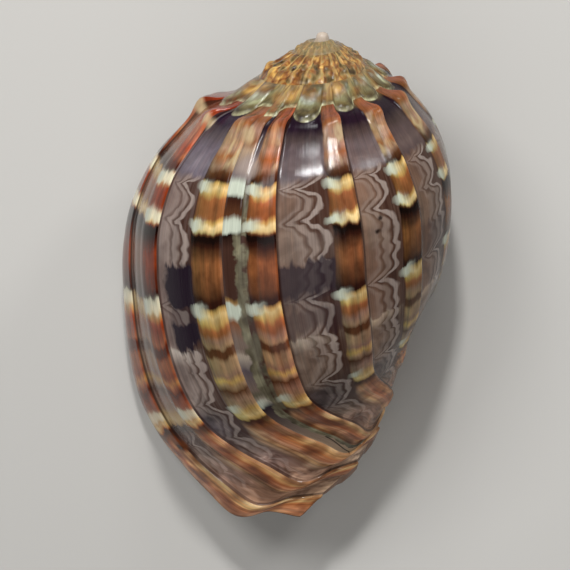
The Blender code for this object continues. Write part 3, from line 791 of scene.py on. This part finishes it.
def glossyShellSkin():
    # harp shell: fine aragonite under its own glaze, so the colours look deep and the highlights are sharp
    material = bpy.data.materials.new("glossyShellSkin")
    material.use_nodes = True
    material.node_tree.nodes.clear()
    add = partial(addNode, material.node_tree)
    degree, perStation = shellSkin["degree"], shellSkin["station"]
    barsEnd, lastRib, reach = shellSkin["barsEnd"], shellSkin["lastRib"], shellSkin["festoonReach"]
    tones = {name: colour(code) for name, code in shellSkin["tones"].items()}
    marks = [add("Attribute", attribute_name=name)[1] for name in ("growth", "rib", "gap", "traits")]
    station, back, cell = add("SeparateXYZ", marks[0])
    width, number, cover = add("SeparateXYZ", marks[1])
    fromNewer, gapWidth, glazed = add("SeparateXYZ", marks[2])
    plumShort, plumLong, runOn = add("SeparateXYZ", marks[3])
    ribPlace = add("MapRange", number, 0.0, lastRib)
    downShell = add("Math DIVIDE", station, notch)

    def toned(name, last=1.0, first=0.0):
        return [(at, tones[tone]) for at, tone in shares(name, last, first)]

    spot = add("CombineXYZ", back, station, number)
    noises = {}
    for name, (along, down, byRib, place, detail, roughness, distortion) in shellSkin["patterns"].items():
        sizes = (degree / along, perStation / down, byRib)
        at = add("VectorMath MULTIPLY_ADD", spot, sizes, (0.0, 0.0, place))
        noises[name] = add("TexNoise", at, 1.0, detail, roughness, 2.0, distortion)[0]
    names = ("slow", "fine", "streaks", "ragged", "jags", "flecks", "mottles", "zigzags", "clouds", "stains")
    slow, fine, streaks, ragged, jags, flecks, mottles, zigzags, clouds, stains = map(noises.get, names)

    # uneven growth: every band waves a little up and down
    waved = station
    shifts = {}
    for name, most in shellSkin["bandWaves"].items():
        shifts[name] = add("MapRange", noises[name], 0.25, 0.75, -most, most)
        waved = add("Math ADD", waved, shifts[name])
    wavedDown = add("Math DIVIDE", waved, notch)

    # tints that lighten and darken the tones below them
    streakTint, blotchTint, jagTint, patchTint, mottleTint = [
        add("ValToRGB", noises[name], stops=stops)[0] for name, stops in shellSkin["patternTints"].items()]

    # ribs: bands that sag a little between the rib's two edges; low on the base the paint spreads
    onBase = add("MapRange", station, *shellSkin["base"])
    spread = add("Math MULTIPLY_ADD", onBase, 0.4, 1.0)
    width = add("Math MULTIPLY", width, spread)
    across = add("Math DIVIDE", cell, width, use_clamp=True)
    bow = add("FloatCurve", 1.0, across, curve=shares("sagShape"))
    sag = add("Math MULTIPLY_ADD", bow, -0.1, waved)
    halves = []
    for name, first, last in (("ribUpper", 0.0, barsEnd), ("ribLower", barsEnd, notch)):
        place = add("MapRange", sag, first, last)
        halves.append(add("ValToRGB", place, stops=toned(name, last, first))[0])
    isLower = add("Math GREATER_THAN", sag, barsEnd)
    bands = add("Mix", isLower, *halves)
    plainBands = add("Mix MULTIPLY", 1.0, bands, (0.8, 0.75, 0.75, 1.0))
    # a painted highlight along each crest and painted shade towards the newer edge
    bands = add("Mix MULTIPLY", 1.0, bands, add("ValToRGB", across, stops=shares("crestHighlightEdgeShade"))[0])
    paleness = add("RGBToBW", bands)
    streakShare = add("MapRange", paleness, 0.2, 0.5, 1.0, 0.3)
    bands = add("Mix MULTIPLY", streakShare, bands, streakTint)
    bands = add("Mix MULTIPLY", 0.8, bands, blotchTint)
    # cream flecks and patches over the ribs
    fleckPlace = add("FloatCurve", 1.0, downShell, curve=[
        (at, share, "sharp") for at, share in shares("fleckPlaces")])
    flecked = add("MapRange", flecks, 0.53, 0.66)
    flecked = add("Math MULTIPLY", flecked, fleckPlace)
    bands = add("Mix", flecked, bands, tones["wheat"])
    ribTint = add("ValToRGB", ribPlace, stops=shares("ribTints", lastRib))[0]
    tintShare = add("MapRange", paleness, 0.14, 0.4, 1.0, 0.1)
    offBase = add("Math MULTIPLY_ADD", onBase, -0.85, 1.0)
    tintShare = add("Math MULTIPLY", tintShare, offBase)
    bands = add("Mix MULTIPLY", tintShare, bands, ribTint)
    # low on the base each rib has plain tones of its own in place of the bands, with a highlight painted at
    # the crest
    overBase = add("ValToRGB", across, stops=toned("baseTones"))[0]
    for tint in (streakTint, jagTint, patchTint):
        overBase = add("Mix MULTIPLY", 1.0, overBase, tint)
    baseShare = add("Math MULTIPLY", onBase, 0.9)
    bands = add("Mix", baseShare, bands, overBase)

    # the narrow step has bands of its own, and a ragged greenish-cream strip runs along its older edge and
    # over the gap beside it
    isStep = add("Math COMPARE", number, shellSkin["narrowStep"], 0.4)
    step = add("ValToRGB", wavedDown, stops=toned("stepTones", notch))[0]
    raggedEdge = add("Math MULTIPLY_ADD", ragged, 8.0, cell)
    onStrip = add("MapRange", raggedEdge, *shellSkin["stripEdge"])
    belowBars = add("MapRange", station, *shellSkin["stripFrom"])
    onStrip = add("Math MULTIPLY", onStrip, belowBars)
    stripTone = add("Mix MULTIPLY", 1.0, tones["greenCream"], blotchTint)
    stripTone = add("Mix MULTIPLY", 0.8, stripTone, mottleTint)
    step = add("Mix", onStrip, step, stripTone)
    bands = add("Mix", isStep, bands, step)

    # gaps: their own tones, then a deep plum band over some of them
    gapTint = add("ValToRGB", ribPlace, stops=shares("gapTints", lastRib))[0]
    ground = add("ValToRGB", wavedDown, stops=toned("gapTones", notch))[0]
    mottleShare = add("MapRange", station, 7.5, 11.0, 0.25, 1.0)
    for share, tint in ((1.0, gapTint), (0.5, streakTint), (mottleShare, mottleTint)):
        ground = add("Mix MULTIPLY", share, ground, tint)
    plumWave = add("Math MULTIPLY_ADD", shifts["jags"], 3.0, waved)
    plumFrom = add("MapRange", plumWave, *shellSkin["plumFrom"])
    parts = []
    for ends, share in ((shellSkin["plumShortTo"], plumShort), (shellSkin["plumLongTo"], plumLong)):
        parts.append(add("Math MULTIPLY", add("MapRange", plumWave, *ends), share))
    plum = add("Math ADD", *parts, use_clamp=True)
    wholeGap = add("Math COMPARE", number, shellSkin["wholePlum"], 0.4)
    plumSide = add("Math MULTIPLY_ADD", wholeGap, 8.0, fromNewer)
    plumSide = add("Math MULTIPLY_ADD", ragged, 9.0, plumSide)
    plumStart = add("MapRange", plumSide, 8.4, 10.4, 0.2, 1.0)
    # paler triangles break it just below the third bar
    broken = add("FloatCurve", 1.0, wavedDown, curve=shares("plumBreaks", notch))
    broken = add("Math MULTIPLY", mottles, broken)
    unbroken = add("MapRange", broken, 0.25, 0.38, 1.0, 0.5)
    for share in (plumFrom, plumStart, unbroken):
        plum = add("Math MULTIPLY", plum, share)

    # festoons: growth lines that swing out at each pale bar and hang in scallops between them
    swingAt = add("Math ADD", shifts["slow"], station)
    swingAt = add("Math DIVIDE", swingAt, notch)
    swing = add("FloatCurve", 1.0, swingAt, curve=[
        (at, size / 10.0, *sharp) for at, size, *sharp in shares("festoonSwing", notch)])
    room = add("MapRange", gapWidth, 4.0, 20.0, 1.0, 10.0)
    swing = add("Math MULTIPLY", swing, room)
    fromRib = add("Math SUBTRACT", cell, width)
    uneven = add("MapRange", slow, 0.2, 0.8, -0.9, 0.9)
    unevenGap = add("Math ADD", fromRib, uneven)
    inFestoon = add("Math SUBTRACT", unevenGap, swing)
    zigzag = add("MapRange", zigzags, 0.3, 0.7, -1.4, 1.4)
    inFestoon = add("Math ADD", inFestoon, zigzag)
    inFestoon = add("MapRange", inFestoon, 0.0, reach)
    festoon = add("ValToRGB", inFestoon, stops=[
        (at, (*tones[tone][:3], share)) for at, tone, share in shares("festoonTones", reach)])
    belowShoulder = add("MapRange", waved, *shellSkin["festoonsFrom"])
    aboveBase = add("MapRange", waved, *shellSkin["festoonsTo"], 0.15, 1.0)
    faint = add("MapRange", streaks, 0.3, 0.6, 0.6, 1.0)
    strength = festoon[1]
    for share in (belowShoulder, aboveBase, faint):
        strength = add("Math MULTIPLY", strength, share)
    gaps = add("Mix", strength, ground, festoon[0])
    gaps = add("Mix", plum, gaps, tones["plum"])
    runsOn = add("MapRange", waved, 9.9, 10.5, 1.0, 0.1)
    runsOn = add("Math MULTIPLY", runsOn, runOn)
    gaps = add("Mix", runsOn, gaps, plainBands)
    strip = add("Mix", add("MapRange", ragged, 0.38, 0.5), tones["plumBrown"], stripTone)
    besideStep = add("Math COMPARE", number, shellSkin["besideStep"], 0.4)
    besideStep = add("Math MULTIPLY", besideStep, belowShoulder)
    gaps = add("Mix", besideStep, gaps, strip)

    # whitish points where each pale bar runs out over the rib's newer edge
    fineEdge = add("MapRange", fine, 0.25, 0.75, -0.25, 0.25)
    ribEdge = add("Math ADD", unevenGap, fineEdge)
    softEdge = add("MapRange", onBase, 0.0, 1.0, 0.35, 2.2)
    onRib = add("MapRange", ribEdge, softEdge, add("Math MULTIPLY", softEdge, -1.0))
    bars = add("FloatCurve", 1.0, wavedDown, curve=shares("barPoints", notch))
    taper = add("MapRange", unevenGap, -1.5, 3.2)
    point = add("Math SUBTRACT", bars, taper)
    point = add("MapRange", point, 0.0, 0.8, 0.0, 0.95)
    onGap = add("MapRange", fromRib, -6.5, -1.0)
    point = add("Math MULTIPLY", point, onGap)
    # by the lip the whole bar is whitish
    nearLip = add("MapRange", number, 1.4, 1.0, 0.0, 0.8)
    for share in (bars, onRib):
        nearLip = add("Math MULTIPLY", nearLip, share)

    # the foot of each steep side lies in a dark line, partly dark pigment and partly painted shade, fainter
    # beside the narrow step
    foot = add("MapRange", fromNewer, 1.5, 0.9, 0.0, 0.7)
    atStep = add("Math COMPARE", number, shellSkin["narrowStep"] + 0.5, 0.9)
    foot = add("Math MULTIPLY", foot, add("MapRange", atStep, 0.0, 1.0, 1.0, 0.3))

    skin = gaps
    for share, tone in ((onRib, bands), (nearLip, tones["whiteCream"]), (point, tones["bluishWhite"]),
                        (foot, tones["umber"])):
        skin = add("Mix", share, skin, tone)

    # the glaze: green-grey with brown blotches, paler round the rim of each lobe
    lobeTone = add("ValToRGB", add("Math MULTIPLY", glazed, 0.5), stops=toned("lobeTones"))[0]
    lobeTone = add("Mix MULTIPLY", 0.9, lobeTone, mottleTint)
    underGlaze = add("MapRange", glazed, 0.02, 0.06, 0.0, 0.85)
    rimShare = add("MapRange", ragged, 0.4, 0.56, 0.35, 1.0)
    underGlaze = add("Math MULTIPLY", underGlaze, rimShare)
    skin = add("Mix", underGlaze, skin, lobeTone)

    # spire: ochre ridges and blotches, with painted shade in the valleys and a painted straw highlight along
    # each ridge, greyer towards the pale tip; they reach a little way over the ramp
    spire = add("ValToRGB", clouds, stops=toned("spireTones"))[0]
    suture = add("MapRange", station, 0.8, 0.1, 0.0, 0.5)
    spire = add("Mix", suture, spire, tones["olive"])
    # painted shade in the valleys between the ridges
    valleyShade = add("MapRange", across, 0.7, 1.0, 0.0, 0.5)
    spire = add("Mix MULTIPLY", valleyShade, spire, (0.5, 0.42, 0.34, 1.0))
    spire = add("Mix MULTIPLY", 0.75, spire, patchTint)
    # a painted straw highlight along each ridge
    wander = add("Math MULTIPLY_ADD", mottles, 0.9, across)
    wander = add("Math MULTIPLY", wander, 0.5)
    ridgeHighlight = add("FloatCurve", 1.0, wander, curve=shares("ridgeHighlightShape"))
    ridgeHighlight = add("Math MULTIPLY", ridgeHighlight, add("MapRange", jags, 0.38, 0.6, 0.1, 1.0))
    spire = add("Mix", ridgeHighlight, spire, tones["straw"])
    rampEdge = add("Math MULTIPLY_ADD", clouds, -1.6, station)
    onRamp = add("MapRange", rampEdge, 0.15, -0.45, 0.0, 0.85)
    skin = add("Mix", onRamp, skin, spire)
    early = add("MapRange", back, 420.0, 960.0, 0.0, 0.8)
    tip = add("MapRange", station, 0.0, -0.8)
    for share, tone in ((early, tones["spireGrey"]), (tip, tones["nipplePink"])):
        spire = add("Mix", share, spire, tone)
    onSpire = add("MapRange", back, 350.0, 362.0)
    skin = add("Mix", onSpire, skin, spire)

    # the spots, with uneven edges, and a thin crack low on the base
    unevenBack = add("Math MULTIPLY_ADD", uneven, 1.5, back)
    onSkin = add("CombineXYZ", unevenBack, waved)
    onSkin = add("VectorMath MULTIPLY", onSkin, (degree, perStation, 0.0))
    for spotBack, spotStation, radius, tone in shellSkin["spots"]:
        centre = (spotBack * degree, spotStation * perStation, 0.0)
        away = add("VectorMath DISTANCE", onSkin, centre)
        away = add("MapRange", away, radius, 0.2 * radius, 0.0, 0.9, interpolation_type="SMOOTHSTEP")
        skin = add("Mix", away, skin, tones[tone])
    crackLine = add("FloatCurve", 1.0, downShell, curve=shares("crack", notch))
    onCrack = add("Math MULTIPLY", back, 0.01)
    onCrack = add("Math COMPARE", onCrack, crackLine, 0.004)
    onCrack = add("Math MULTIPLY", onCrack, 0.85)
    skin = add("Mix", onCrack, skin, tones["black"])

    # fine growth lines lighten and darken everything a little
    skin = add("Mix MULTIPLY", 1.0, skin, add("MapRange", fine, 0.25, 0.75, 0.78, 1.2))

    # inside the mouth: pale, with a chestnut stain
    stained = add("MapRange", stains, 0.48, 0.56, 0.0, 0.85)
    lining = add("Mix", stained, tones["nacre"], tones["chestnut"])
    inside = add("MapRange", cover, 0.1, 0.9)
    skin = add("Mix", inside, skin, lining)

    ridges = add("Bump", shellSkin["ridgeStrength"], shellSkin["ridgeHeight"] * mm, named={"Height": fine})
    finish = {"Roughness": shellSkin["roughness"], "IOR": shellSkin["ior"], "Normal": ridges}
    shader = add("BsdfPrincipled", skin, named=finish)
    add("OutputMaterial", shader)
    return material


studio = {
    "viewTilt": 17.57,               # degrees that the apex leans away from the camera
    "frame": 570,                    # pixels
    "pixel": 0.164,                  # mm of the shell across one of them
    "poleAt": (322.4, 30.4),         # where the coiling axis meets the top of the spire in that frame
    "lens": 500.0,
    "sensor": 36.0,
    "floorSize": 3.0,                # half its width in metres
    "floorTone": "aeaca8",
    "floorRoughness": 0.9,
    "airTone": "e6e6e6",
    "airLight": 0.15,
    "lightsAimAt": (0.0, 0.0, 0.02),
    "lights": {                      # place and size in metres, watts
        "keyLight": ((-0.3, 0.3, 0.6), (0.3, 0.3), 2.4),
        "fillLight": ((-0.15, -0.8, 1.2), (1.6, 1.4), 8.0),
        "windowLight": ((0.02, 0.45, 0.55), (0.06, 0.08), 3.3),
        "sideLight": ((0.45, 0.45, 0.36), (0.12, 0.12), 1.2),
        "lowLight": ((0.0, 0.7, 0.32), (0.14, 0.1), 0.8),
    },
}


def lookDown(standing):
    tilt = math.radians(studio["viewTilt"])
    ahead = Vector((0.0, math.cos(tilt), -math.sin(tilt)))
    up = Vector((0.0, math.sin(tilt), math.cos(tilt)))
    side = Vector((1.0, 0.0, 0.0))
    pixel = studio["pixel"] * mm
    across = (studio["poleAt"][0] - studio["frame"] / 2) * pixel
    height = (studio["frame"] / 2 - studio["poleAt"][1]) * pixel
    middle = -across * side - height * up
    distance = studio["frame"] * pixel * studio["lens"] / studio["sensor"]
    target = standing @ middle
    turn = standing.to_3x3()
    ahead, up = turn @ ahead, turn @ up
    data = bpy.data.cameras.new("camera")
    data.lens = studio["lens"]
    data.sensor_width = studio["sensor"]
    data.clip_start, data.clip_end = 0.05, 20.0
    camera = bpy.data.objects.new("camera", data)
    axes = Matrix((turn @ side, up, -ahead)).transposed()
    camera.matrix_world = Matrix.Translation(target - ahead * distance) @ axes.to_4x4()
    bpy.context.scene.collection.objects.link(camera)
    bpy.context.scene.camera = camera
    return camera


def softLight(name, place, size, power):
    data = bpy.data.lights.new(name, "AREA")
    data.shape = "RECTANGLE"
    data.size, data.size_y = size
    data.energy = power
    light = bpy.data.objects.new(name, data)
    light.location = place
    light.rotation_mode = "QUATERNION"
    aim = Vector(studio["lightsAimAt"]) - Vector(place)
    light.rotation_quaternion = aim.to_track_quat("-Z", "Y")
    bpy.context.scene.collection.objects.link(light)


def makeStudio():
    mesh = bmesh.new()
    bmesh.ops.create_grid(mesh, x_segments=4, y_segments=4, size=studio["floorSize"])
    data = bpy.data.meshes.new("floor")
    mesh.to_mesh(data)
    mesh.free()
    floor = bpy.data.objects.new("floor", data)
    bpy.context.scene.collection.objects.link(floor)
    material = bpy.data.materials.new("palePaper")
    material.use_nodes = True
    shader = material.node_tree.nodes["Principled BSDF"]
    shader.inputs["Base Color"].default_value = colour(studio["floorTone"])
    shader.inputs["Roughness"].default_value = studio["floorRoughness"]
    data.materials.append(material)
    world = bpy.data.worlds.new("studioWorld")
    bpy.context.scene.world = world
    world.use_nodes = True
    air = world.node_tree.nodes["Background"]
    air.inputs["Color"].default_value = colour(studio["airTone"])
    air.inputs["Strength"].default_value = studio["airLight"]
    for name, (place, size, power) in studio["lights"].items():
        softLight(name, place, size, power)


bpy.context.scene.view_settings.view_transform = "Standard"
shell, standing = makeShell()
print("shell grown:", len(shell.data.vertices), "vertices")
shell.data.materials.append(glossyShellSkin())
print("shell skin painted")
makeStudio()
lookDown(standing)
print("studio ready")
